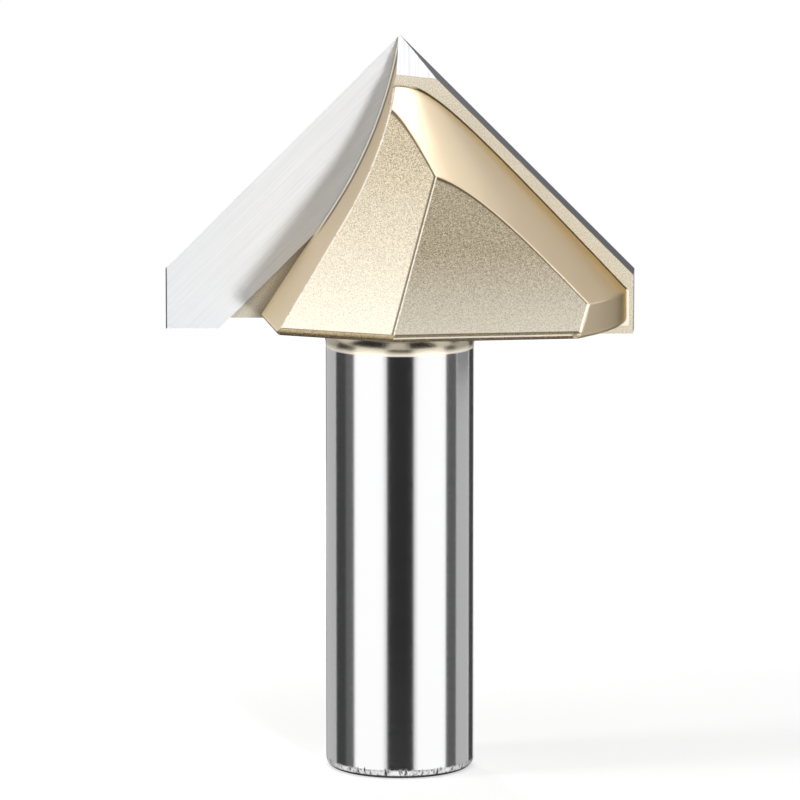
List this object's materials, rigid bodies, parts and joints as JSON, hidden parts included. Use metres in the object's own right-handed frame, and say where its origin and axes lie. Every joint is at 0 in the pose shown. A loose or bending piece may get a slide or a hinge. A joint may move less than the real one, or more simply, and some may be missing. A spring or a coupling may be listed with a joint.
{
  "type": "v groove router bit",
  "caption": "Two-flute V groove router bit with brazed carbide blades, a coned champagne-coated head and a straight polished shank.",
  "frame": {"origin": "centre of the shank's end face, on the bit's axis", "axes": "+Z along the axis from the shank's end to the cutting point; the cutting edges lie in the XZ plane, and the rake face of the left blade looks along -Y"},
  "size_m": [0.04, 0.029, 0.0632],
  "materials": {
    "coated_steel": "champagne coat on the head, bare polished steel on the shank",
    "carbide": "ground tungsten carbide"
  },
  "bodies": {
    "root": {"cutter_body": "coated_steel", "carbide_blade_left": "carbide", "carbide_blade_right": "carbide"}
  },
  "joints": []
}
